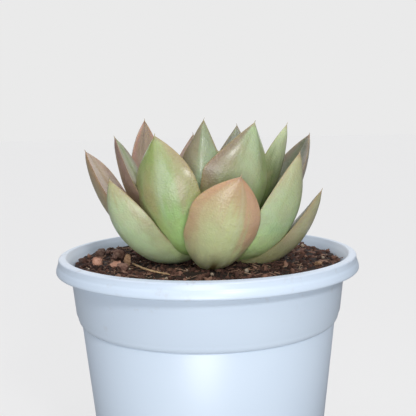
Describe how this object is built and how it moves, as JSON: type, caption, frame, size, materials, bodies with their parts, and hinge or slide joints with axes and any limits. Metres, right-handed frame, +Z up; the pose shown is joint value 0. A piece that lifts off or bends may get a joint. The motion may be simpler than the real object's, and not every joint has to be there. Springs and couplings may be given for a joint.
{
  "type": "potted succulent",
  "caption": "Rosette succulent with thick pointed leaves, growing in soil in a round, slightly tapered plastic nursery pot with a flared rim.",
  "frame": {"origin": "centre of the circle the pot stands on, at the underside of its foot ring", "axes": "+Z up along the pot's axis; -Y is the front, the side the picture was taken from; +X is to the right seen from the front"},
  "size_m": [0.109, 0.109, 0.143],
  "materials": {
    "pot_plastic": "satin, very pale blue-white moulded polypropylene",
    "soil": null,
    "stem": "matt green-brown, hidden between the leaf bases",
    "leaf": null,
    "young_leaf": "as the leaves, fresher green",
    "bark": "rough dry bark",
    "perlite": null,
    "straw": "dry, pale tan"
  },
  "bodies": {
    "root": {"pot": "pot_plastic", "potting_soil": "soil", "rosette_stem": "stem", "leaf_01": "leaf", "leaf_02": "leaf", "leaf_03": "leaf", "leaf_04": "leaf", "leaf_05": "leaf", "leaf_06": "leaf", "leaf_07": "leaf", "leaf_08": "leaf", "leaf_09": "leaf", "leaf_10": "leaf", "leaf_11": "leaf", "leaf_12": "leaf", "leaf_13": "leaf", "leaf_14": "leaf", "leaf_15": "leaf", "leaf_16": "leaf", "leaf_17": "leaf", "young_leaf_01": "young_leaf", "young_leaf_02": "young_leaf", "young_leaf_03": "young_leaf", "young_leaf_04": "young_leaf", "young_leaf_05": "young_leaf", "young_leaf_06": "young_leaf", "young_leaf_07": "young_leaf", "young_leaf_08": "young_leaf", "young_leaf_09": "young_leaf", "young_leaf_10": "young_leaf", "bark_block_dark": "bark", "bark_block_brown": "bark", "bark_splinter_upright": "bark", "bark_flake_red": "bark", "bark_flake_small": "bark", "bark_chip_front": "bark", "bark_chip_wall": "bark", "bark_chip_right": "bark", "bark_chip_back": "bark", "bark_chip_behind": "bark", "perlite_1": "perlite", "perlite_2": "perlite", "perlite_3": "perlite", "perlite_4": "perlite", "perlite_5": "perlite", "perlite_6": "perlite", "straw": "straw"}
  },
  "joints": []
}
